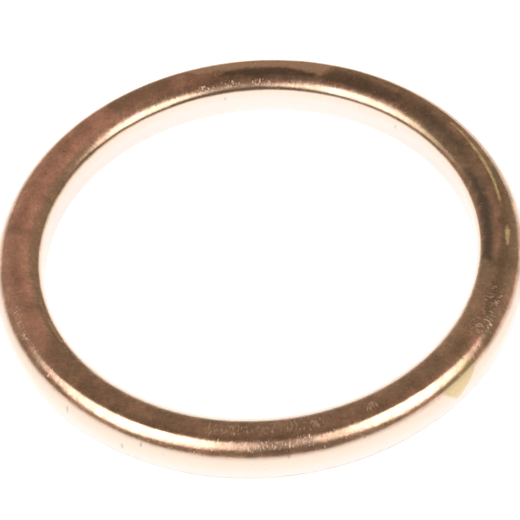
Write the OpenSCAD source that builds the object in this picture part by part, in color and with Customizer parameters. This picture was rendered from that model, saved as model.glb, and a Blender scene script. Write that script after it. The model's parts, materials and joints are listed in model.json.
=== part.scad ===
// Round copper manifold gasket: a closed ring pressed from folded copper sheet.
// The origin is the centre of the lower face, with +Z through the opening.

/* [Ring] */
// Diameter of the opening through the ring
inner_d = 36; // [12:0.5:90]
// Width of the ring, from its inner wall to its outer wall
ring_w = 4; // [3.4:0.1:8]
// Height of the ring, from the lower face to the land on top
ring_h = 4; // [3.4:0.1:8]

/* [Outer shoulder] */
// Radius of the shoulder where it rises from the outer wall
outer_shoulder_r = 2.2; // [1.2:0.05:2.6]
// Angle that it turns through before the tighter brow takes over
outer_shoulder_turn = 58; // [45:1:66]
// Radius of the brow, where the shoulder meets the land
outer_brow_r = 1; // [0.3:0.05:1.4]

/* [Inner shoulder] */
// Radius of the shoulder where it rises from the inner wall
inner_shoulder_r = 1; // [0.4:0.05:1.4]
// Angle that it turns through before the slack crown takes over
inner_shoulder_turn = 49; // [35:1:60]
// Width of the flat land between the crown and the brow
land_w = 0.15; // [0.1:0.05:0.6]

/* [Lower face] */
// Radius where each wall turns under the ring
lower_turn_r = 0.75; // [0.3:0.05:0.85]
// Distance from the inner wall to the middle of the closing seam
seam_inset = 1.6; // [1.3:0.05:2.3]
// Radius of the two rolled lips that meet at the seam
lip_r = 0.25; // [0.1:0.05:0.3]
// Gap left between the two lips
seam_gap = 0.12; // [0.06:0.02:0.3]
// Depth of the seam, to the root of its gap
seam_depth = 0.5; // [0.4:0.05:1.2]

/* [Hidden] */
$fn = 144;

// Reach of a cutting shape beyond the metal that it trims
over = 0.5;

// Shift that makes the two arcs of a turn cross where they would only touch
lap = 0.001;

inner_r = inner_d / 2;
outer_r = inner_r + ring_w;
seam_r = inner_r + seam_inset;

// Outer turn, in from the wall and down from the land, with the place where its arcs meet
brow_in = outer_shoulder_r * (1 - cos(outer_shoulder_turn));
outer_turn_w = brow_in + outer_brow_r * cos(outer_shoulder_turn);
outer_turn_h = outer_shoulder_r * sin(outer_shoulder_turn)
    + outer_brow_r * (1 - sin(outer_shoulder_turn));

// Inner turn, whose crown spans what the outer turn, the land and the inner shoulder leave
crown_in = inner_shoulder_r * (1 - cos(inner_shoulder_turn));
inner_turn_w = ring_w - land_w - outer_turn_w;
crown_r = (inner_turn_w - crown_in) / cos(inner_shoulder_turn);
inner_turn_h = inner_shoulder_r * sin(inner_shoulder_turn)
    + crown_r * (1 - sin(inner_shoulder_turn));

// Waste that rounds a square corner at [x, z], with the metal towards in_x and in_z
module corner_waste(x, z, in_x, in_z, r, reach = over) {
    difference() {
        translate([x + in_x * (r - reach) / 2, z + in_z * (r - reach) / 2])
            square(r + reach, center = true);
        translate([x + in_x * r, z + in_z * r])
            circle(r = r);
    }
}

// Waste over the outer turn, with the wall at x = 0, the land at z = 0 and the metal at +x
module outer_turn_waste() {
    brow_x = outer_turn_w - lap;
    difference() {
        translate([-over, -outer_turn_h])
            square([brow_x + over, outer_turn_h + over]);
        intersection() {
            translate([outer_shoulder_r, -outer_turn_h])
                circle(r = outer_shoulder_r);
            translate([0, -outer_turn_h - over])
                square([brow_in, outer_turn_h + over]);
        }
        translate([brow_x, -outer_brow_r])
            circle(r = outer_brow_r);
        translate([brow_in / 2, -outer_turn_h - over])
            square([brow_x, outer_turn_h + over - outer_brow_r]);
    }
}

// Waste over the inner turn, placed in the same way
module inner_turn_waste() {
    crown_x = inner_turn_w + lap;
    difference() {
        translate([-over, -inner_turn_h])
            square([crown_x + over, inner_turn_h + over]);
        translate([inner_shoulder_r, -inner_turn_h])
            circle(r = inner_shoulder_r);
        intersection() {
            translate([crown_x, -crown_r])
                circle(r = crown_r);
            translate([crown_in, -inner_turn_h - over])
                square([crown_x, inner_turn_h + 2 * over]);
        }
    }
}

// Waste of the seam, where the two rolled edges of the sheet close the ring
module seam_waste() {
    root_z = seam_depth - seam_gap / 2;
    translate([seam_r - seam_gap / 2, -over])
        square([seam_gap, root_z + over]);
    translate([seam_r, root_z])
        circle(d = seam_gap);
    corner_waste(seam_r + seam_gap / 2, 0, 1, 1, lip_r, seam_gap / 2);
    corner_waste(seam_r - seam_gap / 2, 0, -1, 1, lip_r, seam_gap / 2);
}

// Section of the ring, drawn at its own radius from the axis
module ring_section() {
    difference() {
        translate([inner_r, 0])
            square([ring_w, ring_h]);
        translate([outer_r, ring_h])
            mirror([1, 0])
                outer_turn_waste();
        translate([inner_r, ring_h])
            inner_turn_waste();
        corner_waste(outer_r, 0, -1, 1, lower_turn_r);
        corner_waste(inner_r, 0, 1, 1, lower_turn_r);
        seam_waste();
    }
}

module gasket_ring() {
    color("#96694B")
        rotate_extrude()
            ring_section();
}

gasket_ring();
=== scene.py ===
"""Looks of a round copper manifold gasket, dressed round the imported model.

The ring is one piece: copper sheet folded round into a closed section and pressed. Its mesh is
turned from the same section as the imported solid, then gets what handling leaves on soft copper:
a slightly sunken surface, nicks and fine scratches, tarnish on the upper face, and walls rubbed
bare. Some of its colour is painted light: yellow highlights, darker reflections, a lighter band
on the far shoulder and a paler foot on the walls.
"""

import json
import logging
import math
from dataclasses import dataclass, field
from enum import Enum
from typing import Any, Mapping, Optional, Sequence, Union

import bpy
import numpy as np
from mathutils import Matrix, Vector, noise


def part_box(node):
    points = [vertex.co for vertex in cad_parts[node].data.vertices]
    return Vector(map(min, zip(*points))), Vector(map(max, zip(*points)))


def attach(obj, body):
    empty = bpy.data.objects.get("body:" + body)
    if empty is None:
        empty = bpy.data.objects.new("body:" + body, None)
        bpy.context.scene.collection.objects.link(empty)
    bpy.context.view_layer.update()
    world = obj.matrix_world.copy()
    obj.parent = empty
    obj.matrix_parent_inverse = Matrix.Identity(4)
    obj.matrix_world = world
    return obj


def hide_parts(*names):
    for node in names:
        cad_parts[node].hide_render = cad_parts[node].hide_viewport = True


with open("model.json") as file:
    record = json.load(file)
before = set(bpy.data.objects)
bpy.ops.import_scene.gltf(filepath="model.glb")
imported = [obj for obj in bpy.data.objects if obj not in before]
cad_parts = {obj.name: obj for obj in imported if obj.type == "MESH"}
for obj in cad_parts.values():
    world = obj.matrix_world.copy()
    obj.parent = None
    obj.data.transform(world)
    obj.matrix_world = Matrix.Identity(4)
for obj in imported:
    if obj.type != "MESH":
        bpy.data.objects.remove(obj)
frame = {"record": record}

log = logging.getLogger("gasket")

MM = 0.001
PHOTO_SIDE_PX = 520
# Values that few places of a noise pattern lie below and above.
NOISE_ENDS = (0.3, 0.7)
Colour = tuple[float, float, float, float]
Source = Union[bpy.types.NodeSocket, float, Sequence[float]]


def linear(hex_colour: str) -> Colour:
    """Turns an sRGB hex colour into linear light.

    Args:
        hex_colour: Six hex digits after a hash, such as "#FAD1C2".

    Returns:
        Red, green, blue and an alpha of 1, in linear light.
    """
    channels = [int(hex_colour[i:i + 2], 16) / 255 for i in (1, 3, 5)]
    light = [c / 12.92 if c <= 0.04045 else ((c + 0.055) / 1.055) ** 2.4 for c in channels]
    return (light[0], light[1], light[2], 1.0)


def add_node(
    tree: bpy.types.NodeTree,
    kind: str,
    settings: Optional[Mapping[str, Any]] = None,
    inputs: Optional[Mapping[Union[str, int], Source]] = None,
) -> bpy.types.Node:
    """Adds one node with its settings, its values and its links.

    Args:
        tree: The node tree that gets the node.
        kind: Blender's name of the node type.
        settings: Properties of the node by name.
        inputs: A value or a source socket for each input, by name or number.

    Returns:
        The new node.
    """
    node = tree.nodes.new(kind)
    for name, value in (settings or {}).items():
        setattr(node, name, value)
    for name, source in (inputs or {}).items():
        if isinstance(source, bpy.types.NodeSocket):
            tree.links.new(source, node.inputs[name])
        else:
            node.inputs[name].default_value = source
    return node


def smooth_step(low: float, high: float, value: np.ndarray) -> np.ndarray:
    """Rises smoothly from 0 at low to 1 at high, or falls where low is above high."""
    share = np.clip((value - low) / (high - low), 0.0, 1.0)
    return share * share * (3.0 - 2.0 * share)


def fractal(points: np.ndarray, octaves: int) -> np.ndarray:
    """Smooth noise from about -1 to 1 at each point.

    Args:
        points: One row per point, already scaled to the noise's own grain.
        octaves: How many finer layers are added, each half as strong.

    Returns:
        One value per point.
    """
    return np.array([noise.fractal(Vector(p), 1.0, 2.0, octaves) for p in points])


@dataclass
class Outline:
    """The closed outline of a section, as points with their place along the sheet.

    Attributes:
        radius: Distance of each point from the ring's axis.
        height: Height of each point above the lower face.
        across: Length along the outline from the foot of the outer wall.
    """

    radius: list[float] = field(default_factory=list)
    height: list[float] = field(default_factory=list)
    across: list[float] = field(default_factory=list)

    def line_to(self, radius: float, height: float, steps: int) -> None:
        """Runs straight to a point.

        Args:
            radius: Distance of the end from the ring's axis.
            height: Height of the end.
            steps: How many equal stretches the line has.
        """
        r0, z0 = self.radius[-1], self.height[-1]
        for i in range(1, steps + 1):
            self.add(r0 + (radius - r0) * i / steps, z0 + (height - z0) * i / steps)

    def arc_to(self, radius: float, start: float, end: float, steps: int) -> None:
        """Runs round an arc that starts at the last point.

        Args:
            radius: Radius of the arc.
            start: Direction from the arc's centre to its start, in degrees.
            end: Direction from the arc's centre to its end, in degrees.
            steps: How many equal stretches the arc has.
        """
        a0 = math.radians(start)
        centre_r = self.radius[-1] - radius * math.cos(a0)
        centre_z = self.height[-1] - radius * math.sin(a0)
        for i in range(1, steps + 1):
            a = math.radians(start + (end - start) * i / steps)
            self.add(centre_r + radius * math.cos(a), centre_z + radius * math.sin(a))

    def add(self, radius: float, height: float) -> None:
        """Adds one point and its place along the outline.

        Args:
            radius: Distance of the point from the ring's axis.
            height: Height of the point.
        """
        if self.radius:
            step = math.hypot(radius - self.radius[-1], height - self.height[-1])
            self.across.append(self.across[-1] + step)
        else:
            self.across.append(0.0)
        self.radius.append(radius)
        self.height.append(height)

    def arrays(self) -> tuple[np.ndarray, np.ndarray, np.ndarray]:
        """Gives the outline as arrays, without the repeated closing point.

        Returns:
            The radius, the height and the place along the sheet of each point.
        """
        return (
            np.array(self.radius[:-1]),
            np.array(self.height[:-1]),
            np.array(self.across[:-1]),
        )


@dataclass(frozen=True)
class TwoArcTurn:
    """A turn from a wall to the land, through two arcs that share a tangent.

    Attributes:
        wall_arc: Radius of the arc that rises from the wall.
        turn: Angle that it turns through, in degrees.
        land_arc: Radius of the arc that runs on to the land.
    """

    wall_arc: float
    turn: float
    land_arc: float

    @property
    def width(self) -> float:
        """Width of the whole turn."""
        share = math.cos(math.radians(self.turn))
        return self.wall_arc * (1 - share) + self.land_arc * share

    @property
    def height(self) -> float:
        """Height of the whole turn."""
        share = math.sin(math.radians(self.turn))
        return self.wall_arc * share + self.land_arc * (1 - share)


@dataclass
class RingSection:
    """Section of the folded ring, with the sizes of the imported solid.

    Attributes:
        outer_radius: Radius of the outer wall.
        inner_radius: Radius of the inner wall.
        height: Height of the land above the lower face.
        outer_turn: Outer shoulder and its brow.
        inner_shoulder: Radius of the inner shoulder.
        inner_turn: Angle of the inner shoulder before the crown takes over, in degrees.
        land: Width of the flat land.
        lower_turn: Radius where each wall turns under the ring.
        seam_inset: Distance from the inner wall to the middle of the seam.
        lip: Radius of the two rolled lips at the seam.
        seam_gap: Gap between the lips.
        seam_depth: Depth of the seam.
    """

    outer_radius: float
    inner_radius: float
    height: float
    outer_turn: TwoArcTurn = TwoArcTurn(2.2 * MM, 58.0, 1.0 * MM)
    inner_shoulder: float = 1.0 * MM
    inner_turn: float = 49.0
    land: float = 0.15 * MM
    lower_turn: float = 0.75 * MM
    seam_inset: float = 1.6 * MM
    lip: float = 0.25 * MM
    seam_gap: float = 0.12 * MM
    seam_depth: float = 0.5 * MM

    @property
    def middle(self) -> float:
        """Radius half way between the two walls."""
        return (self.outer_radius + self.inner_radius) / 2

    def crown_turn(self) -> TwoArcTurn:
        """Shapes the inner shoulder and the crown that fills the width left over.

        Returns:
            The turn from the inner wall to the land.
        """
        share = math.cos(math.radians(self.inner_turn))
        ring_width = self.outer_radius - self.inner_radius
        left = ring_width - self.land - self.outer_turn.width - self.inner_shoulder * (1 - share)
        return TwoArcTurn(self.inner_shoulder, self.inner_turn, left / share)

    def outline(self) -> Outline:
        """Draws the section from the foot of the outer wall, over the top and back underneath.

        Returns:
            The closed outline, with its first point repeated at the end.
        """
        outer, inner = self.outer_turn, self.crown_turn()
        seam_root = self.seam_depth - self.seam_gap / 2
        path = Outline()
        path.add(self.outer_radius, self.lower_turn)
        path.line_to(self.outer_radius, self.height - outer.height, 8)
        path.arc_to(outer.wall_arc, 0, outer.turn, 18)
        path.arc_to(outer.land_arc, outer.turn, 90, 5)
        path.line_to(path.radius[-1] - self.land, self.height, 1)
        path.arc_to(inner.land_arc, 90, 180 - inner.turn, 16)
        path.arc_to(inner.wall_arc, 180 - inner.turn, 180, 10)
        path.line_to(self.inner_radius, self.lower_turn, 10)
        path.arc_to(self.lower_turn, 180, 270, 8)
        path.line_to(self.inner_radius + self.seam_inset - self.seam_gap / 2 - self.lip, 0, 2)
        path.arc_to(self.lip, 270, 360, 5)
        path.line_to(path.radius[-1], seam_root, 1)
        path.arc_to(self.seam_gap / 2, 180, 0, 4)
        path.line_to(path.radius[-1], self.lip, 1)
        path.arc_to(self.lip, 180, 270, 5)
        path.line_to(self.outer_radius - self.lower_turn, 0, 3)
        path.arc_to(self.lower_turn, 270, 360, 8)
        log.info("section: crown radius %.2f mm, %d points", inner.land_arc / MM, len(path.radius))
        return path


class FilmOrPaintedLight(Enum):
    """What the copper carries in one place, or the light painted on it there, by attribute name."""

    ROSE = "rose_film"
    OLIVE = "olive_film_and_painted_reflection"
    DARK = "dark_film_and_painted_reflection"
    WIPED_AND_PAINTED_LIGHTER = "wiped_metal_and_painted_reflection"
    NICKED = "nicked_metal"
    STRAW = "straw_patch"
    YELLOW = "painted_yellow_highlight"
    DIRT = "dirt_line"


class RubbedOrPaintedWall(Enum):
    """Where the walls are rubbed bare and where a paler foot is painted on, by attribute name."""

    BARE = "bare_metal"
    PAINTED_FOOT = "painted_foot_reflection"


def place_round(
    degrees: Union[float, np.ndarray],
    first: float,
    mm_per_degree: float,
) -> Union[float, np.ndarray]:
    """Place round the ring in millimetres, counted both ways from the first angle."""
    return ((degrees - first + 180) % 360 - 180) * mm_per_degree


@dataclass(frozen=True)
class StainOrPaintedLight:
    """A patch of one film or of painted light, drawn as a polygon on the sheet.

    Attributes:
        film: Which film or painted light it is.
        corners: Its corners, as degrees round the ring and millimetres along the sheet.
        strength: How strong the film is inside, from 0 to 1.
        fade_mm: Width over which its edge fades.
        ragged_mm: How far noise pushes its edge in and out.
    """

    film: FilmOrPaintedLight
    corners: Sequence[tuple[float, float]]
    strength: float
    fade_mm: float = 1.0
    ragged_mm: float = 0.4

    def amount(
        self,
        degrees: np.ndarray,
        across: np.ndarray,
        ragged: np.ndarray,
        mm_per_degree: float,
    ) -> np.ndarray:
        """How much film lies at each point.

        Args:
            degrees: Angle of each point round the ring.
            across: Place of each point along the sheet, in millimetres.
            ragged: Noise of each point that makes the edge uneven.
            mm_per_degree: Length of a degree round the middle of the ring.

        Returns:
            One value per point, from 0 to 1.
        """
        first = self.corners[0][0]
        x = place_round(degrees, first, mm_per_degree)
        reach = np.full(len(x), np.inf)
        inside = np.zeros(len(x), dtype=bool)
        shape = [(place_round(at, first, mm_per_degree), mm) for at, mm in self.corners]
        for (x0, y0), (x1, y1) in zip(shape, shape[1:] + shape[:1]):
            dx, dy = x1 - x0, y1 - y0
            share = np.clip(((x - x0) * dx + (across - y0) * dy) / (dx * dx + dy * dy), 0, 1)
            reach = np.minimum(reach, np.hypot(x - x0 - share * dx, across - y0 - share * dy))
            if dy:
                inside ^= ((y0 > across) != (y1 > across)) & (x < x0 + (across - y0) * dx / dy)
        depth = np.where(inside, reach, -reach) + self.ragged_mm * ragged
        return self.strength * smooth_step(-self.fade_mm / 2, self.fade_mm / 2, depth)


@dataclass
class GasketRing:
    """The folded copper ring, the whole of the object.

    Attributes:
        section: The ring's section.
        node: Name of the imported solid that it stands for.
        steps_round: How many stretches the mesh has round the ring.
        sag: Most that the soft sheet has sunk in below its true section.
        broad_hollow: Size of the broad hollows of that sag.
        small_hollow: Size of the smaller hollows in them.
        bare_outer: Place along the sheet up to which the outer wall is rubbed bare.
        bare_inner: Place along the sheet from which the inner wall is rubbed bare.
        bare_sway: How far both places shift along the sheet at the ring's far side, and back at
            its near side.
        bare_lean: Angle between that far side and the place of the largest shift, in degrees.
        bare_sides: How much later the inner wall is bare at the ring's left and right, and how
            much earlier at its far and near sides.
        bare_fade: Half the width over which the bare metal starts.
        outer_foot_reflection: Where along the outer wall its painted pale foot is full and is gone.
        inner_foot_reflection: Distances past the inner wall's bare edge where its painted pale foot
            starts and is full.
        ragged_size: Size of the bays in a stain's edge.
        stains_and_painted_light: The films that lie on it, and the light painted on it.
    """

    section: RingSection
    node: str = "gasket_ring"
    steps_round: int = 900
    sag: float = 0.03 * MM
    broad_hollow: float = 6.0 * MM
    small_hollow: float = 1.6 * MM
    bare_outer: float = 2.8 * MM
    bare_inner: float = 6.35 * MM
    bare_sway: float = 0.63 * MM
    bare_lean: float = 8.0
    bare_sides: float = 0.20 * MM
    bare_fade: float = 0.2 * MM
    outer_foot_reflection: tuple[float, float] = (0.2 * MM, 1.4 * MM)
    inner_foot_reflection: tuple[float, float] = (0.15 * MM, 1.25 * MM)
    ragged_size: float = 0.9 * MM
    stains_and_painted_light: Sequence[StainOrPaintedLight] = ()

    def build(self) -> bpy.types.Object:
        """Turns the section round the axis and lets the sheet sag a little.

        Returns:
            The finished mesh object, with what it carries as attributes.
        """
        radius, height, across = self.section.outline().arrays()
        count = len(radius)
        angle = np.arange(self.steps_round) * (2 * math.pi / self.steps_round)
        normal_r, normal_z = self.outline_normals(radius, height)
        flow = self.flow_points(angle, across)
        sink = self.sink_depth(flow, np.tile(height, self.steps_round))
        r = np.tile(radius, self.steps_round) - np.tile(normal_r, self.steps_round) * sink
        z = np.tile(height, self.steps_round) - np.tile(normal_z, self.steps_round) * sink
        around = np.repeat(angle, count)
        points = np.stack([r * np.cos(around), r * np.sin(around), z], axis=1)
        mesh = bpy.data.meshes.new("folded_ring")
        mesh.from_pydata(points.tolist(), [], self.faces(count))
        mesh.polygons.foreach_set("use_smooth", [True] * len(mesh.polygons))
        self.paint(mesh, np.degrees(around), np.tile(across, self.steps_round), flow)
        mesh.update()
        ring = bpy.data.objects.new("folded_copper_ring", mesh)
        bpy.context.scene.collection.objects.link(ring)
        log.info("folded_copper_ring: %d points, %d faces", len(points), len(mesh.polygons))
        return ring

    @staticmethod
    def outline_normals(radius: np.ndarray, height: np.ndarray) -> tuple[np.ndarray, np.ndarray]:
        """Outward normals of the closed outline, from each point's two neighbours.

        Args:
            radius: Distance of each point from the ring's axis.
            height: Height of each point.

        Returns:
            The part of each normal away from the axis, and its upward part.
        """
        dr = np.roll(radius, -1) - np.roll(radius, 1)
        dz = np.roll(height, -1) - np.roll(height, 1)
        length = np.hypot(dr, dz)
        return dz / length, -dr / length

    def flow_points(self, angle: np.ndarray, across: np.ndarray) -> np.ndarray:
        """Places every point in a space where the sheet runs straight.

        Args:
            angle: Angle of each step round the ring, in radians.
            across: Place of each outline point along the sheet.

        Returns:
            One row per mesh point: two numbers for the place round the ring, and one for the
            place across it.
        """
        a = np.repeat(angle, len(across))
        s = np.tile(across, len(angle))
        middle = self.section.middle
        return np.stack([middle * np.cos(a), middle * np.sin(a), s], axis=1)

    def sink_depth(self, flow: np.ndarray, height: np.ndarray) -> np.ndarray:
        """How far the sheet lies below its true section.

        Args:
            flow: Every point's place in the straight sheet.
            height: Every point's height.

        Returns:
            The depth at each point, which is 0 on the lower face.
        """
        other_part = 31.0  # so that the small hollows don't repeat the broad ones
        broad = fractal(flow / self.broad_hollow, 2)
        small = fractal(flow / self.small_hollow + other_part, 2)
        depth = self.sag * (0.5 + 0.32 * broad + 0.12 * small)
        clear_of_foot = smooth_step(0.05 * MM, 0.9 * MM, height)
        return np.clip(depth, 0.0, self.sag) * clear_of_foot

    def faces(self, count: int) -> list[tuple[int, int, int, int]]:
        """Quads between each step round the ring and the next.

        Args:
            count: How many points the outline has.

        Returns:
            The corner numbers of each quad, wound outwards.
        """
        quads = []
        for i in range(self.steps_round):
            here = i * count
            there = (i + 1) % self.steps_round * count
            for j in range(count):
                k = (j + 1) % count
                quads.append((here + j, there + j, there + k, here + k))
        return quads

    def paint(
        self,
        mesh: bpy.types.Mesh,
        degrees: np.ndarray,
        across: np.ndarray,
        flow: np.ndarray,
    ) -> None:
        """Stores films, painted light, the bare walls, the painted foot and each point's place as
        attributes.

        Args:
            mesh: The ring's mesh.
            degrees: Angle of each point round the ring.
            across: Place of each point along the sheet.
            flow: Every point's place in the straight sheet.
        """
        ragged = fractal(flow / self.ragged_size, 3)
        mm_per_degree = math.radians(self.section.middle / MM)
        for film in FilmOrPaintedLight:
            amount = np.zeros(len(degrees))
            for stain in self.stains_and_painted_light:
                if stain.film is film:
                    here = stain.amount(degrees, across / MM, ragged, mm_per_degree)
                    amount = np.maximum(amount, here)
            self.store(mesh, film.value, amount)
        edge = self.bare_sway * np.sin(np.radians(degrees - self.bare_lean))
        later = self.bare_sides * np.cos(np.radians(2 * degrees))
        past_outer = self.bare_outer + edge - across
        past_inner = across - self.bare_inner - edge - later
        past_edge = np.maximum(past_outer, past_inner)
        bare = smooth_step(-self.bare_fade, self.bare_fade, past_edge)
        self.store(mesh, RubbedOrPaintedWall.BARE.value, bare)
        # Painted reflection: the walls turn paler towards their foot, standing in for the bright table
        # that they mirror there.
        reflection_full, reflection_gone = self.outer_foot_reflection
        outer_foot = smooth_step(reflection_gone, reflection_full, across)
        inner_foot = smooth_step(*self.inner_foot_reflection, past_inner)
        self.store(mesh, RubbedOrPaintedWall.PAINTED_FOOT.value, np.maximum(outer_foot, inner_foot))
        flow_mm = mesh.attributes.new("sheet_mm", "FLOAT_VECTOR", "POINT")
        flow_mm.data.foreach_set("vector", (flow / MM).astype(np.float32).ravel())

    @staticmethod
    def store(mesh: bpy.types.Mesh, name: str, values: np.ndarray) -> None:
        """Stores one number per point as a named attribute."""
        attribute = mesh.attributes.new(name, "FLOAT", "POINT")
        attribute.data.foreach_set("value", values.astype(np.float32))

    def place(self, ring: bpy.types.Object, finish: bpy.types.Material, slot: str) -> None:
        """Gives the ring its finish and hands it to the frame.

        Args:
            ring: The finished mesh object.
            finish: The material that it wears.
            slot: The record's material slot; it is not used.
        """
        ring.data.materials.append(finish)
        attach(ring, "root")
        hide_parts(self.node)


@dataclass(frozen=True)
class Grain:
    """One kind of unevenness in the sheet, drawn by its real size.

    Attributes:
        size_mm: Size of its largest marks.
        detail: How many finer layers it has.
        pace: How quickly it changes in each direction, of which the third runs across the ring.
        fineness: How strong each finer layer is beside the one before it.
    """

    size_mm: float
    detail: float
    pace: tuple[float, float, float] = (1.0, 1.0, 1.0)
    fineness: float = 0.6

    def draw(self, tree: bpy.types.NodeTree, sheet: bpy.types.NodeSocket) -> bpy.types.NodeSocket:
        """Draws it along the sheet.

        Args:
            tree: The material's node tree.
            sheet: The place in the straight sheet, in millimetres.

        Returns:
            Its value, around one half.
        """
        place = add_node(
            tree, "ShaderNodeVectorMath", {"operation": "MULTIPLY"}, {0: sheet, 1: self.pace},
        )
        noise_node = add_node(
            tree, "ShaderNodeTexNoise", None,
            {
                "Vector": place.outputs["Vector"], "Scale": 1 / self.size_mm,
                "Detail": self.detail, "Roughness": self.fineness,
            },
        )
        return noise_node.outputs["Fac"]


@dataclass(frozen=True)
class PressedCopper:
    """Soft copper sheet, pressed bright and then tarnished by handling and air.

    The pressing leaves it smooth enough to mirror its surroundings softly. The walls are rubbed
    bare and look pale, because they mirror the bright table. Over the top a thin brown oxide
    dulls the blue and green of what it mirrors. Some of its colour is painted light: yellow
    highlights, darker reflections, a lighter band on the far shoulder and a paler foot.

    Attributes:
        bare: Colour of the walls, rubbed bare.
        foot: Colour painted at the walls' foot, a painted reflection of the bright table there.
        oxide: Colour of copper under thin brown oxide.
        rose: Colour under a thin, fresh film.
        olive: Colour under the older, greenish film, and of the painted dark line on the far inner
            edge.
        dark: Colour of the darkest film, and of the dark reflections painted on.
        wiped_and_painted_lighter: Colour where the film has been wiped away, and of the painted
        lighter reflection along the far shoulder.
        straw: Colour of the pale tan patch on the near wall.
        yellow: Colour of the painted yellow highlights, a warm lamp's reflection painted on.
        nicked: Colour of the nicks where handling has scuffed it.
        dirt: Colour of the dirt that sits in the deeper scratches.
        roughness: Roughness of the pressed surface.
        nick_roughness: Roughness of the nicks, which scatter the lamps' light.
        yellow_highlight_roughness: Roughness of the painted yellow highlights, which scatters the
        lamps' light more widely.
        dent: Shallow dents in the soft sheet.
        dent_depth_mm: Their depth.
        peel: Orange peel that pressing leaves in soft copper.
        peel_depth_mm: Its depth.
        scratch: Fine scratches round the ring, drawn coarser than real ones.
        scratch_depth_mm: Their depth.
        cloud: Brighter and duller areas of the surface.
        cloud_factors: What the roughness is multiplied by in those two.
        blotch: Blotches in the oxide.
        blotch_factors: What the colour is multiplied by in the darkest and palest of them.
        patch: Redder and greener patches in the oxide.
        grit: Fine dirt and grain in the oxide, drawn coarser than real grains.
        grit_factors: What the colour is multiplied by in the darkest and palest grain.
        nick: Small bright nicks that handling leaves, drawn coarser than real ones.
        nick_edge: Values of that grain at which a nick starts and is full.
        nick_lift: How far scuffing lifts that grain.
        nick_cover: How much of the colour below it a nick hides.
        pit_mm: Distance between small pits with dirt in them, drawn coarser than real ones.
        pit_edge: Where a pit starts to end and has ended, as shares of that distance.
        pit_depth_mm: Depth of the pits.
        pit_factor: What the colour is multiplied by in a pit.
    """

    bare: str = "#E6D4C7"
    foot: str = "#E3D9D5"
    oxide: str = "#CFAB91"
    rose: str = "#F8C0AC"
    olive: str = "#A7947C"
    dark: str = "#786C64"
    wiped_and_painted_lighter: str = "#F8D2B8"
    straw: str = "#D1B98F"
    yellow: str = "#F7E2A4"
    nicked: str = "#DDC0AA"
    dirt: str = "#6B6258"
    roughness: float = 0.20
    nick_roughness: float = 0.60
    yellow_highlight_roughness: float = 0.75
    dent: Grain = Grain(3.0, 1.0, (0.7, 0.7, 1.0))
    dent_depth_mm: float = 0.05
    peel: Grain = Grain(0.40, 3.0, (1.0, 1.0, 0.6))
    peel_depth_mm: float = 0.012
    scratch: Grain = Grain(0.25, 2.0, (0.08, 0.08, 1.0))
    scratch_depth_mm: float = 0.003
    cloud: Grain = Grain(2.0, 4.0)
    cloud_factors: tuple[float, float] = (0.8, 1.3)
    blotch: Grain = Grain(1.6, 5.0)
    blotch_factors: tuple[float, float] = (0.80, 1.18)
    patch: Grain = Grain(1.1, 4.0, (1.0, 1.0, 0.6))
    grit: Grain = Grain(0.22, 2.0, (0.7, 0.7, 1.0))
    grit_factors: tuple[float, float] = (0.84, 1.12)
    nick: Grain = Grain(0.16, 2.0, (1.0, 1.0, 0.35))
    nick_edge: tuple[float, float] = (0.68, 0.78)
    nick_lift: float = 0.2
    nick_cover: float = 0.9
    pit_mm: float = 0.9
    pit_edge: tuple[float, float] = (0.06, 0.16)
    pit_depth_mm: float = 0.004
    pit_factor: float = 0.75

    def material(self) -> bpy.types.Material:
        """Builds the copper's material from the attributes on the ring.

        Returns:
            The new material.
        """
        material = bpy.data.materials.new("pressed_copper_sheet")
        material.use_nodes = True
        tree = material.node_tree
        tree.nodes.clear()
        sheet = add_node(tree, "ShaderNodeAttribute", {"attribute_name": "sheet_mm"}).outputs["Vector"]
        speck = self.specks(tree, sheet)
        nick = self.nicks(tree, sheet)
        shader = add_node(
            tree, "ShaderNodeBsdfPrincipled", None,
            {
                "Base Color": self.colour(tree, sheet, speck, nick),
                "Metallic": 1.0,
                "Roughness": self.dullness(tree, sheet, nick),
                "Normal": self.relief(tree, sheet, speck),
            },
        )
        add_node(tree, "ShaderNodeOutputMaterial", None, {"Surface": shader.outputs["BSDF"]})
        return material

    def specks(self, tree: bpy.types.NodeTree, sheet: bpy.types.NodeSocket) -> bpy.types.NodeSocket:
        """Small specks scattered over the oxide, 1 at their middle and 0 between them.

        Args:
            tree: The material's node tree.
            sheet: The place in the straight sheet, in millimetres.

        Returns:
            The specks.
        """
        cells = add_node(
            tree, "ShaderNodeTexVoronoi", None, {"Vector": sheet, "Scale": 1 / self.pit_mm},
        )
        speck = add_node(
            tree, "ShaderNodeMapRange", None,
            {
                "Value": cells.outputs["Distance"],
                "From Min": self.pit_edge[0], "From Max": self.pit_edge[1],
                "To Min": 1.0, "To Max": 0.0,
            },
        )
        bare = add_node(tree, "ShaderNodeAttribute", {"attribute_name": RubbedOrPaintedWall.BARE.value})
        off_walls = add_node(
            tree, "ShaderNodeMapRange", None,
            {
                "Value": bare.outputs["Fac"],
                "From Min": 0.0, "From Max": 0.5, "To Min": 1.0, "To Max": 0.0,
            },
        )
        both = add_node(
            tree, "ShaderNodeMath", {"operation": "MULTIPLY"},
            {0: speck.outputs["Result"], 1: off_walls.outputs["Result"]},
        )
        return both.outputs["Value"]

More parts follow.
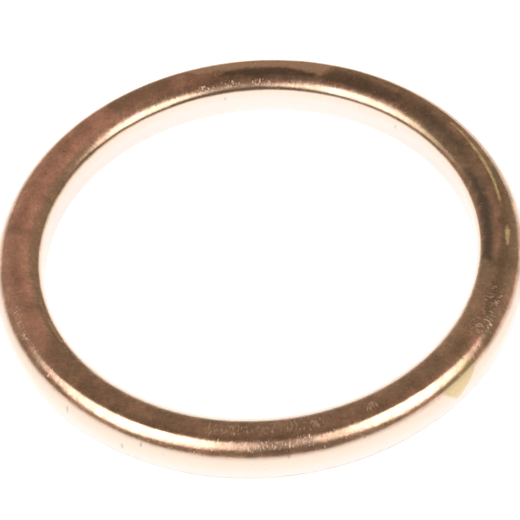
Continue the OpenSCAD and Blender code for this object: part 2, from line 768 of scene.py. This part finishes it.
    def nicks(self, tree: bpy.types.NodeTree, sheet: bpy.types.NodeSocket) -> bpy.types.NodeSocket:
        """Small nicks where the sheet is scuffed, strong in a nick and 0 beside it.

        Args:
            tree: The material's node tree.
            sheet: The place in the straight sheet, in millimetres.

        Returns:
            The nicks.
        """
        scuffed = add_node(tree, "ShaderNodeAttribute", {"attribute_name": FilmOrPaintedLight.NICKED.value})
        level = add_node(
            tree, "ShaderNodeMath", {"operation": "MULTIPLY_ADD"},
            {0: scuffed.outputs["Fac"], 1: self.nick_lift, 2: self.nick.draw(tree, sheet)},
        )
        nick = add_node(
            tree, "ShaderNodeMapRange", None,
            {
                "Value": level.outputs["Value"],
                "From Min": self.nick_edge[0], "From Max": self.nick_edge[1],
                "To Min": 0.0, "To Max": self.nick_cover,
            },
        )
        return nick.outputs["Result"]

    def colour(
        self,
        tree: bpy.types.NodeTree,
        sheet: bpy.types.NodeSocket,
        speck: bpy.types.NodeSocket,
        nick: bpy.types.NodeSocket,
    ) -> bpy.types.NodeSocket:
        """Lays the films and the painted light over the copper, one after another.

        Args:
            tree: The material's node tree.
            sheet: The place in the straight sheet, in millimetres.
            speck: The scattered specks.
            nick: The bright nicks.

        Returns:
            The colour of the surface.
        """
        blotch = self.blotch.draw(tree, sheet)
        grit = self.grit.draw(tree, sheet)
        patch = self.patch.draw(tree, sheet)
        below: Source = linear(self.oxide)
        for least, most, tint in ((0.0, 0.5, self.rose), (0.45, 0.0, self.olive)):
            share = add_node(
                tree, "ShaderNodeMapRange", None,
                {
                    "Value": patch, "From Min": NOISE_ENDS[0], "From Max": NOISE_ENDS[1],
                    "To Min": least, "To Max": most,
                },
            )
            mix = add_node(
                tree, "ShaderNodeMix", {"data_type": "RGBA"},
                {0: share.outputs["Result"], 6: below, 7: linear(tint)},
            )
            below = mix.outputs[2]
        # Rose, olive and dark films; the olive and dark ones also carry painted dark reflections.
        for film, tint, unevenness in (
            (FilmOrPaintedLight.ROSE, self.rose, 0.3), (FilmOrPaintedLight.OLIVE, self.olive, 0.5), (FilmOrPaintedLight.DARK, self.dark, 0.3),
        ):
            below = self.coat(tree, below, film, tint, blotch, unevenness)
        below = self.shade(tree, below, blotch, self.blotch_factors)
        below = self.shade(tree, below, grit, self.grit_factors)
        # Wiped places, and the painted lighter reflection along the far shoulder.
        below = self.coat(tree, below, FilmOrPaintedLight.WIPED_AND_PAINTED_LIGHTER, self.wiped_and_painted_lighter, grit, 0.2)
        scuffed = add_node(
            tree, "ShaderNodeMix", {"data_type": "RGBA"}, {0: nick, 6: below, 7: linear(self.nicked)},
        )
        below = scuffed.outputs[2]
        # Bare walls, then the painted reflection at their paler foot, the pale tan patch, the painted
        # yellow highlights and the dirt in the scratches.
        for film, tint, unevenness in (
            (RubbedOrPaintedWall.BARE, self.bare, 0.0), (RubbedOrPaintedWall.PAINTED_FOOT, self.foot, 0.0),
            (FilmOrPaintedLight.STRAW, self.straw, 0.2), (FilmOrPaintedLight.YELLOW, self.yellow, 0.5),
            (FilmOrPaintedLight.DIRT, self.dirt, 0.3),
        ):
            below = self.coat(tree, below, film, tint, grit, unevenness)
        return self.shade(tree, below, speck, (1.0, self.pit_factor), (0.0, 1.0))

    @staticmethod
    def coat(
        tree: bpy.types.NodeTree,
        below: Source,
        film: Union[FilmOrPaintedLight, RubbedOrPaintedWall],
        tint: str,
        grain: bpy.types.NodeSocket,
        unevenness: float,
    ) -> bpy.types.NodeSocket:
        """Lays the colour of one film or painted light over what lies below, where the ring has it.

        Args:
            tree: The material's node tree.
            below: The colour below.
            film: The film or painted light, by whose attribute it is laid.
            tint: The colour that is laid over it.
            grain: The grain that makes the film uneven.
            unevenness: How far that grain thins the film, from 0 to 1.

        Returns:
            The mixed colour.
        """
        where = add_node(tree, "ShaderNodeAttribute", {"attribute_name": film.value})
        cover = add_node(
            tree, "ShaderNodeMapRange", None,
            {
                "Value": grain, "From Min": NOISE_ENDS[0], "From Max": NOISE_ENDS[1],
                "To Min": 1.0 - unevenness, "To Max": 1.0,
            },
        )
        thinned = add_node(
            tree, "ShaderNodeMath", {"operation": "MULTIPLY"},
            {0: where.outputs["Fac"], 1: cover.outputs["Result"]},
        )
        mix = add_node(
            tree, "ShaderNodeMix", {"data_type": "RGBA"},
            {0: thinned.outputs["Value"], 6: below, 7: linear(tint)},
        )
        return mix.outputs[2]

    @staticmethod
    def shade(
        tree: bpy.types.NodeTree,
        below: bpy.types.NodeSocket,
        grain: bpy.types.NodeSocket,
        factors: tuple[float, float],
        ends: tuple[float, float] = NOISE_ENDS,
    ) -> bpy.types.NodeSocket:
        """Makes a colour darker and lighter by a grain.

        Args:
            tree: The material's node tree.
            below: The colour.
            grain: The grain.
            factors: What the colour is multiplied by at the two ends of the grain.
            ends: The grain's values at those two ends.

        Returns:
            The shaded colour.
        """
        factor = add_node(
            tree, "ShaderNodeMapRange", None,
            {
                "Value": grain, "From Min": ends[0], "From Max": ends[1],
                "To Min": factors[0], "To Max": factors[1],
            },
        )
        shaded = add_node(
            tree, "ShaderNodeVectorMath", {"operation": "SCALE"},
            {0: below, "Scale": factor.outputs["Result"]},
        )
        return shaded.outputs["Vector"]

    def dullness(
        self,
        tree: bpy.types.NodeTree,
        sheet: bpy.types.NodeSocket,
        nick: bpy.types.NodeSocket,
    ) -> bpy.types.NodeSocket:
        """Roughness of the pressed surface, rougher at the nicks and where yellow highlights are
        painted.

        Args:
            tree: The material's node tree.
            sheet: The place in the straight sheet, in millimetres.
            nick: The bright nicks.

        Returns:
            The roughness.
        """
        pressed = add_node(
            tree, "ShaderNodeMapRange", None,
            {
                "Value": self.cloud.draw(tree, sheet),
                "From Min": NOISE_ENDS[0], "From Max": NOISE_ENDS[1],
                "To Min": self.roughness * self.cloud_factors[0],
                "To Max": self.roughness * self.cloud_factors[1],
            },
        )
        # Rougher where the yellow highlights are painted.
        yellow_highlight = add_node(tree, "ShaderNodeAttribute", {"attribute_name": FilmOrPaintedLight.YELLOW.value})
        roughness = pressed.outputs["Result"]
        for amount, rougher in (
            (nick, self.nick_roughness), (yellow_highlight.outputs["Fac"], self.yellow_highlight_roughness),
        ):
            mix = add_node(
                tree, "ShaderNodeMix", {"data_type": "FLOAT"}, {0: amount, 2: roughness, 3: rougher},
            )
            roughness = mix.outputs[0]
        return roughness

    def relief(
        self,
        tree: bpy.types.NodeTree,
        sheet: bpy.types.NodeSocket,
        speck: bpy.types.NodeSocket,
    ) -> Source:
        """Shallow dents, orange peel, fine scratches and small pits, as bump.

        Args:
            tree: The material's node tree.
            sheet: The place in the straight sheet, in millimetres.
            speck: The scattered specks.

        Returns:
            The bent normal.
        """
        inputs: dict[Union[str, int], Source] = {"Strength": 1.0}
        for height, depth_mm in (
            (self.dent.draw(tree, sheet), self.dent_depth_mm),
            (self.peel.draw(tree, sheet), self.peel_depth_mm),
            (self.scratch.draw(tree, sheet), self.scratch_depth_mm),
            (speck, -self.pit_depth_mm),
        ):
            inputs.update({"Distance": depth_mm * MM, "Height": height})
            inputs["Normal"] = add_node(tree, "ShaderNodeBump", None, inputs).outputs["Normal"]
        return inputs["Normal"]


@dataclass(frozen=True)
class LitPaper:
    """Matt white paper over a table that is lit from below.

    The light that comes through it makes the ground look white and without a shadow. Inside the
    ring and round it that light is stronger: a painted pool of light that stands in for the light
    that the copper throws back onto the table.

    Attributes:
        paper: Colour of the paper itself.
        light: Colour of the light that comes through.
        roughness: Roughness of its matt surface.
        glow: Strength of that light inside the ring and under it, a painted pool of light.
        far_glow: Strength of that light away from the ring.
        painted_pool_edge: Radius up to which the painted pool of light is strongest.
        painted_pool_reach: Distance beyond that radius at which the far strength takes over.
    """

    paper: str = "#AAAAA8"
    light: str = "#FFFFFC"
    roughness: float = 0.9
    glow: float = 0.91
    far_glow: float = 0.72
    painted_pool_edge: float = 20.0 * MM
    painted_pool_reach: float = 16.0 * MM

    def material(self) -> bpy.types.Material:
        """Builds the paper's material, with a painted pool of light set by the distance from the ring's
        axis.

        Returns:
            The new material.
        """
        material = bpy.data.materials.new("white_paper")
        material.use_nodes = True
        tree = material.node_tree
        where = add_node(tree, "ShaderNodeTexCoord").outputs["Object"]
        length = add_node(tree, "ShaderNodeVectorMath", {"operation": "LENGTH"}, {0: where})
        # Painted pool of light: the glow is strongest near the ring's axis and fades to the far
        # strength.
        glow = add_node(
            tree, "ShaderNodeMapRange", {"interpolation_type": "SMOOTHSTEP"},
            {
                "Value": length.outputs["Value"],
                "From Min": self.painted_pool_edge, "From Max": self.painted_pool_edge + self.painted_pool_reach,
                "To Min": self.glow, "To Max": self.far_glow,
            },
        )
        shader = tree.nodes["Principled BSDF"]
        shader.inputs["Base Color"].default_value = linear(self.paper)
        shader.inputs["Roughness"].default_value = self.roughness
        shader.inputs["Emission Color"].default_value = linear(self.light)
        tree.links.new(glow.outputs["Result"], shader.inputs["Emission Strength"])
        return material


@dataclass
class WhiteTable:
    """The plain white ground that the ring lies on.

    Attributes:
        radius: Radius of the ground.
        drop: How far it lies below the ring, so that no two faces lie in one plane.
        steps_round: How many stretches its rim has.
    """

    radius: float = 1.5
    drop: float = 0.02 * MM
    steps_round: int = 96

    def build(self) -> bpy.types.Object:
        """Makes the ground.

        Returns:
            The ground.
        """
        angles = [2 * math.pi * i / self.steps_round for i in range(self.steps_round)]
        rim = [(self.radius * math.cos(a), self.radius * math.sin(a), -self.drop) for a in angles]
        mesh = bpy.data.meshes.new("white_table")
        mesh.from_pydata(rim, [], [tuple(range(self.steps_round))])
        table = bpy.data.objects.new("white_table", mesh)
        bpy.context.scene.collection.objects.link(table)
        mesh.materials.append(LitPaper().material())
        return table


@dataclass(frozen=True)
class SoftBox:
    """A soft oval light that faces the ring, brightest in the middle of its face.

    Attributes:
        name: What it is called.
        azimuth: Direction from the ring, in degrees to the right of the camera's side.
        elevation: Height above the table, in degrees.
        tilt: Angle by which its end of larger azimuth is raised, in degrees.
        width: Width of its face in metres.
        height: Height of its face in metres.
        radiance: Brightness of the middle of its face.
        shares: Widths of the nested faces that make up its glow, as shares of the whole.
        height_kept: Share of the height that every nested face keeps, however narrow.
        step: How much nearer each smaller face is.
        colour: Its colour.
        distance: Distance from the ring in metres.
    """

    name: str
    azimuth: float
    elevation: float
    tilt: float
    width: float
    height: float
    radiance: float
    shares: Sequence[float] = (1.0, 0.74, 0.54, 0.37)
    height_kept: float = 0.6
    step: float = 1.0 * MM
    colour: str = "#FFFFFF"
    distance: float = 0.5

    def build(self) -> list[bpy.types.Object]:
        """Makes the nested faces of the light, turned to the ring.

        Returns:
            One light per face.
        """
        away = direction(self.azimuth, self.elevation)
        sideways = Vector((-away.y, away.x, 0.0)).normalized()
        upward = away.cross(sideways)
        tilt = math.radians(self.tilt)
        right = sideways * math.cos(tilt) + upward * math.sin(tilt)
        turn = Matrix((right, away.cross(right), away)).transposed().to_4x4()
        face_radiance = self.radiance / len(self.shares)
        faces = []
        for number, share in enumerate(self.shares):
            lamp = bpy.data.lights.new(self.name, "AREA")
            lamp.shape = "ELLIPSE"
            lamp.size = self.width * share
            lamp.size_y = self.height * (self.height_kept + (1 - self.height_kept) * share)
            area = math.pi / 4 * lamp.size * lamp.size_y
            lamp.energy = face_radiance * math.pi * area
            lamp.color = linear(self.colour)[:3]
            light = bpy.data.objects.new(f"{self.name}_{number}", lamp)
            place = away * (self.distance - number * self.step)
            light.matrix_world = Matrix.Translation(place) @ turn
            bpy.context.scene.collection.objects.link(light)
            faces.append(light)
        return faces


def direction(azimuth: float, elevation: float) -> Vector:
    """A unit vector away from the ring.

    Args:
        azimuth: Degrees to the right of the camera's side, which is -Y.
        elevation: Degrees above the table.

    Returns:
        The vector.
    """
    a, e = math.radians(azimuth), math.radians(elevation)
    return Vector((math.sin(a) * math.cos(e), -math.cos(a) * math.cos(e), math.sin(e)))


@dataclass(frozen=True)
class RoomGlow:
    """A soft, paler area of the room round the table.

    Attributes:
        azimuth: Direction, in degrees to the right of the camera's side.
        elevation: Height above the table, in degrees.
        half_angle: Half its width, in degrees.
        colour: Its colour.
        strength: Its brightness.
    """

    azimuth: float
    elevation: float
    half_angle: float
    colour: str
    strength: float


@dataclass
class DimRoom:
    """The dim room that the copper mirrors above the table.

    Attributes:
        ceiling: Colour overhead.
        wall: Colour at the height of the table.
        strength: Brightness of both.
        glows: Paler areas in it.
    """

    ceiling: str = "#7E7364"
    wall: str = "#998E80"
    strength: float = 1.0
    glows: Sequence[RoomGlow] = ()

    def build(self) -> bpy.types.World:
        """Makes the world from a gradient and the glows.

        Returns:
            The world.
        """
        world = bpy.data.worlds.new("dim_room")
        bpy.context.scene.world = world
        world.use_nodes = True
        tree = world.node_tree
        tree.nodes.clear()
        where = add_node(tree, "ShaderNodeTexCoord").outputs["Generated"]
        height = add_node(tree, "ShaderNodeSeparateXYZ", None, {"Vector": where}).outputs["Z"]
        base = add_node(
            tree, "ShaderNodeMix", {"data_type": "RGBA"},
            {0: height, 6: linear(self.wall), 7: linear(self.ceiling)},
        )
        total = add_node(
            tree, "ShaderNodeVectorMath", {"operation": "SCALE"},
            {0: base.outputs[2], "Scale": self.strength},
        ).outputs["Vector"]
        for glow in self.glows:
            facing = add_node(
                tree, "ShaderNodeVectorMath", {"operation": "DOT_PRODUCT"},
                {0: where, 1: direction(glow.azimuth, glow.elevation)},
            )
            amount = add_node(
                tree, "ShaderNodeMapRange", {"interpolation_type": "SMOOTHSTEP"},
                {
                    "Value": facing.outputs["Value"],
                    "From Min": math.cos(math.radians(glow.half_angle)), "From Max": 1.0,
                    "To Min": 0.0, "To Max": glow.strength,
                },
            )
            lit = add_node(
                tree, "ShaderNodeVectorMath", {"operation": "SCALE"},
                {0: linear(glow.colour)[:3], "Scale": amount.outputs["Result"]},
            )
            total = add_node(
                tree, "ShaderNodeVectorMath", {"operation": "ADD"},
                {0: total, 1: lit.outputs["Vector"]},
            ).outputs["Vector"]
        background = add_node(tree, "ShaderNodeBackground", None, {"Color": total})
        add_node(tree, "ShaderNodeOutputWorld", None, {"Surface": background.outputs["Background"]})
        return world


@dataclass(frozen=True)
class PhotoCamera:
    """A camera at the photograph's viewing angle.

    Attributes:
        elevation: Height of the view above the ring's plane, in degrees.
        roll: Turn about the line of sight, in degrees.
        distance: Distance from the ring's middle.
        focal_px: Focal length in pixels of the square picture.
        aim_y: How far in front of the ring's middle the camera aims.
        sensor_mm: Width of the sensor.
        clip: Nearest and farthest distance that it sees, in metres.
    """

    elevation: float = 48.45
    roll: float = -5.44
    distance: float = 143.0 * MM
    focal_px: float = 1719.6
    aim_y: float = -1.388 * MM
    sensor_mm: float = 36.0
    clip: tuple[float, float] = (0.01, 10.0)

    def build(self, ring_height: float) -> bpy.types.Object:
        """Makes the camera and sets it as the scene's own.

        Args:
            ring_height: Height of the ring, whose middle the view turns about.

        Returns:
            The camera.
        """
        middle = Vector((0.0, 0.0, ring_height / 2))
        place = middle + direction(0.0, self.elevation) * self.distance
        forward = (middle + Vector((0.0, self.aim_y, 0.0)) - place).normalized()
        right = forward.cross(Vector((0.0, 0.0, 1.0))).normalized()
        up = right.cross(forward)
        roll = math.radians(self.roll)
        tilted_right = right * math.cos(roll) + up * math.sin(roll)
        tilted_up = up * math.cos(roll) - right * math.sin(roll)
        data = bpy.data.cameras.new("photo_camera")
        data.sensor_width = self.sensor_mm
        data.lens = self.sensor_mm * self.focal_px / PHOTO_SIDE_PX
        data.clip_start, data.clip_end = self.clip
        camera = bpy.data.objects.new("photo_camera", data)
        turn = Matrix((tilted_right, tilted_up, -forward)).transposed()
        camera.matrix_world = Matrix.Translation(place) @ turn.to_4x4()
        bpy.context.scene.collection.objects.link(camera)
        bpy.context.scene.camera = camera
        return camera


# Films and painted light on the ring, each with its corners as degrees round the ring and
# millimetres along the sheet from the foot of the outer wall, then its strength, fade and
# raggedness. Degrees run from the right of the picture, with 90 at its far side and -90 at its
# near side.
STAINS_AND_PAINTED_LIGHT = (
    # Fresh, redder film: along the left from the far side on, and one place on the right
    StainOrPaintedLight(FilmOrPaintedLight.ROSE, ((126, 3.7), (172, 3.5), (172, 5.7), (126, 5.8)), 1.0, 0.9),
    StainOrPaintedLight(FilmOrPaintedLight.ROSE, ((168, 3.5), (208, 3.2), (212, 4.2), (204, 5.4), (168, 5.7)), 0.75, 0.9),
    StainOrPaintedLight(FilmOrPaintedLight.ROSE, ((200, 3.9), (209, 4.0), (207, 5.4), (200, 5.4)), 0.9, 0.5),
    StainOrPaintedLight(FilmOrPaintedLight.ROSE, ((96, 4.4), (124, 4.2), (124, 5.7), (96, 5.7)), 0.6, 0.8),
    StainOrPaintedLight(FilmOrPaintedLight.ROSE, ((-13, 4.4), (0, 4.3), (9, 4.5), (6, 5.0), (-12, 5.2)), 0.6, 0.5),
    # A painted lighter reflection along the far shoulder, beside the painted dark shape, and a small
    # round scuff on the near side
    StainOrPaintedLight(
        FilmOrPaintedLight.WIPED_AND_PAINTED_LIGHTER, ((67, 3.6), (106, 3.5), (101, 4.5), (84, 4.55), (75, 4.6), (69, 5.1)),
        1.0, 0.35, 0.25,
    ),
    StainOrPaintedLight(FilmOrPaintedLight.WIPED_AND_PAINTED_LIGHTER, ((16, 3.3), (72, 3.2), (66, 3.8), (18, 3.8)), 0.35, 0.5, 0.2),
    StainOrPaintedLight(FilmOrPaintedLight.WIPED_AND_PAINTED_LIGHTER, ((-69.6, 4.2), (-67.2, 4.2), (-67.4, 4.85), (-69.4, 4.85)), 0.5, 0.2, 0.1),
    # Older, greener film along the right, at the far left and along the left inner edge; along the
    # far inner edge a painted dark line, the dark band mirrored under the lamps
    StainOrPaintedLight(FilmOrPaintedLight.OLIVE, ((-40, 3.1), (16, 3.2), (12, 4.4), (-30, 4.7)), 1.0, 0.6),
    StainOrPaintedLight(FilmOrPaintedLight.OLIVE, ((14, 3.2), (64, 3.3), (64, 4.4), (10, 4.4)), 0.4, 0.6),
    StainOrPaintedLight(FilmOrPaintedLight.OLIVE, ((-60, 4.4), (-8, 4.4), (-8, 5.8), (-60, 5.6)), 0.25, 0.8),
    StainOrPaintedLight(FilmOrPaintedLight.OLIVE, ((-25, 5.0), (20, 4.8), (40, 4.5), (40, 6.3), (-25, 6.3)), 0.6, 0.8),
    StainOrPaintedLight(FilmOrPaintedLight.OLIVE, ((108, 4.0), (118, 3.9), (126, 4.4), (122, 5.3), (111, 5.1)), 0.5, 0.5),
    StainOrPaintedLight(FilmOrPaintedLight.OLIVE, ((140, 5.75), (205, 5.6), (222, 5.4), (222, 6.5), (140, 6.5)), 0.7, 0.4),
    StainOrPaintedLight(FilmOrPaintedLight.OLIVE, ((26, 6.33), (150, 6.33), (175, 6.4), (175, 6.8), (26, 6.8)), 0.9, 0.25, 0.05),
    # Darkest film on the right; painted dark reflections: a line along the far inner edge, blots along
    # the far right where a dark shape is mirrored, and the gap between the highlights on the near wall
    StainOrPaintedLight(FilmOrPaintedLight.DARK, ((42, 6.4), (122, 6.4), (122, 6.8), (42, 6.8)), 0.4, 0.2, 0.05),
    StainOrPaintedLight(FilmOrPaintedLight.DARK, ((-16, 5.3), (5, 5.2), (14, 5.35), (17, 5.9), (-14, 6.2)), 1.0, 0.6, 0.25),
    StainOrPaintedLight(
        FilmOrPaintedLight.DARK, ((44, 4.5), (54, 4.3), (66, 4.15), (68.8, 5.3), (66, 5.5), (46, 5.5)),
        0.6, 0.4, 0.2,
    ),
    StainOrPaintedLight(FilmOrPaintedLight.DARK, ((24, 4.8), (44, 4.3), (52, 4.8), (44, 5.4), (18, 5.4)), 0.6, 1.2, 0.4),
    StainOrPaintedLight(
        FilmOrPaintedLight.DARK,
        ((70, 5.0), (72, 4.75), (80, 4.62), (94, 4.7), (96, 5.1), (88, 5.45), (71, 5.4)),
        0.75, 0.3, 0.1,
    ),
    StainOrPaintedLight(FilmOrPaintedLight.DARK, ((68, 5.2), (98, 5.2), (100, 5.8), (66, 5.8)), 0.3, 0.5),
    StainOrPaintedLight(FilmOrPaintedLight.DARK, ((-97, 2.35), (-80, 2.35), (-82, 2.9), (-95, 2.9)), 0.35, 0.4),
    # Pale tan patch down the near right wall, running on over its shoulder
    StainOrPaintedLight(
        FilmOrPaintedLight.STRAW,
        ((-53.6, 2.3), (-50.2, 0.7), (-49, 0.7), (-46, 1.5), (-43, 2.6), (-43.5, 3.0), (-53, 2.9)),
        1.0, 0.2, 0.05,
    ),
    StainOrPaintedLight(FilmOrPaintedLight.STRAW, ((-48, 2.9), (-43.5, 2.9), (-45, 3.6), (-47, 3.6)), 0.7, 0.2, 0.1),
    # Painted yellow highlights, standing in for a warm lamp's reflection: a long thin one and a
    # short one on the right, and two on the inner edge
    StainOrPaintedLight(
        FilmOrPaintedLight.YELLOW, ((0, 4.18), (8, 4.03), (31, 3.94), (31, 4.09), (10, 4.24), (1, 4.36)),
        1.0, 0.14, 0.08,
    ),
    StainOrPaintedLight(FilmOrPaintedLight.YELLOW, ((-12, 3.95), (-8, 3.86), (-5, 4.0), (-6, 4.2), (-11, 4.2)), 0.85, 0.25, 0.15),
    StainOrPaintedLight(FilmOrPaintedLight.YELLOW, ((18, 6.12), (42, 6.2), (42, 6.36), (18, 6.28)), 0.35, 0.3, 0.1),
    StainOrPaintedLight(FilmOrPaintedLight.YELLOW, ((-166, 5.9), (-150, 5.84), (-150, 5.98), (-166, 6.03)), 0.35, 0.15, 0.05),
    # Scuffed places that are full of nicks
    StainOrPaintedLight(FilmOrPaintedLight.NICKED, ((80, 5.85), (103, 5.85), (103, 6.3), (80, 6.3)), 0.8, 0.3),
    StainOrPaintedLight(FilmOrPaintedLight.NICKED, ((-106, 4.0), (-78, 4.0), (-80, 5.2), (-105, 5.2)), 0.8, 0.6),
    StainOrPaintedLight(FilmOrPaintedLight.NICKED, ((-70.2, 4.1), (-66.8, 4.1), (-67.2, 4.95), (-69.8, 4.95)), 1.0, 0.2, 0.1),
    StainOrPaintedLight(FilmOrPaintedLight.NICKED, ((-39, 3.5), (-24, 3.5), (-23, 5.0), (-38, 4.8)), 0.8, 0.6),
    StainOrPaintedLight(FilmOrPaintedLight.NICKED, ((-98, 2.8), (-82, 2.8), (-82, 3.7), (-98, 3.7)), 0.6, 0.4),
    StainOrPaintedLight(FilmOrPaintedLight.NICKED, ((-164, 3.4), (-142, 2.9), (-142, 3.7), (-164, 4.2)), 0.6, 0.5),
)

# Scratches on the two walls that hold dirt, each as its degrees, first and last millimetre.
SCRATCHES = (
    (-136.5, 1.3, 2.0), (-122.5, 0.7, 1.3), (-118.0, 1.8, 2.2), (-88.0, 2.0, 2.35),
    (44.0, 7.4, 7.8), (95.5, 7.2, 7.5),
)

# Two soft boxes at the camera's sides and a faint card in front light the ring.
LIGHTS = (
    SoftBox("left_soft_box", -58.0, 40.5, 8.0, width=0.74, height=0.43, radiance=3.8),
    SoftBox("right_soft_box", 53.0, 39.5, -8.0, width=0.58, height=0.42, radiance=3.8),
    SoftBox("front_white_card", -4.0, 46.0, 0.0, width=0.58, height=0.30, radiance=0.30, shares=(1.0,)),
)

# Paler areas of the room that the copper mirrors behind the ring.
GLOWS = (
    RoomGlow(120.0, 42.0, 50.0, "#FFE0D0", 0.18),
    RoomGlow(-140.0, 30.0, 45.0, "#FFECE0", 0.12),
)


def dirt_lines() -> tuple[StainOrPaintedLight, ...]:
    """Turns the list of scratches into narrow lines of dirt across the walls.

    Returns:
        One stain per scratch.
    """
    half_width = 0.22
    lines = []
    for at, low, high in SCRATCHES:
        left, right = at - half_width, at + half_width
        corners_of_line = ((left, low), (right, low), (right, high), (left, high))
        lines.append(StainOrPaintedLight(FilmOrPaintedLight.DIRT, corners_of_line, strength=0.5, fade_mm=0.15, ragged_mm=0.0))
    return tuple(lines)


def ring_sizes(packed: Mapping[str, Any]) -> tuple[float, float, float]:
    """Reads the ring's three sizes from the frame.


    Returns:
        Outer radius, inner radius and height, in metres.
    """
    low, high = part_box("gasket_ring")
    opening = next(m for m in packed["record"]["mounts"] if m["name"] == "opening")
    return (high.x - low.x) / 2, opening["dims"]["r_mm"] * MM, high.z


def corners(bounds: tuple[Vector, Vector]) -> list[list[float]]:
    """Turns two corners into plain lists of numbers."""
    return [[float(x) for x in corner] for corner in bounds]


def main() -> None:
    """Builds the ring and the studio."""
    logging.basicConfig(level=logging.INFO, format="%(name)s: %(message)s")
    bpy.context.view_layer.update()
    outer_radius, inner_radius, height = ring_sizes(frame)
    section = RingSection(outer_radius, inner_radius, height)
    gasket = GasketRing(section, stains_and_painted_light=STAINS_AND_PAINTED_LIGHT + dirt_lines())
    ring = gasket.build()
    gasket.place(ring, PressedCopper().material(), "copper_sheet")
    table = WhiteTable().build()
    for light in LIGHTS:
        log.info("%s: %d faces", light.name, len(light.build()))
    room = DimRoom(glows=GLOWS).build()
    camera = PhotoCamera().build(height)
    bpy.context.scene.view_settings.view_transform = "Standard"
    log.info("stage: %s, %s, %s", table.name, room.name, camera.name)


if __name__ == "__main__":
    main()
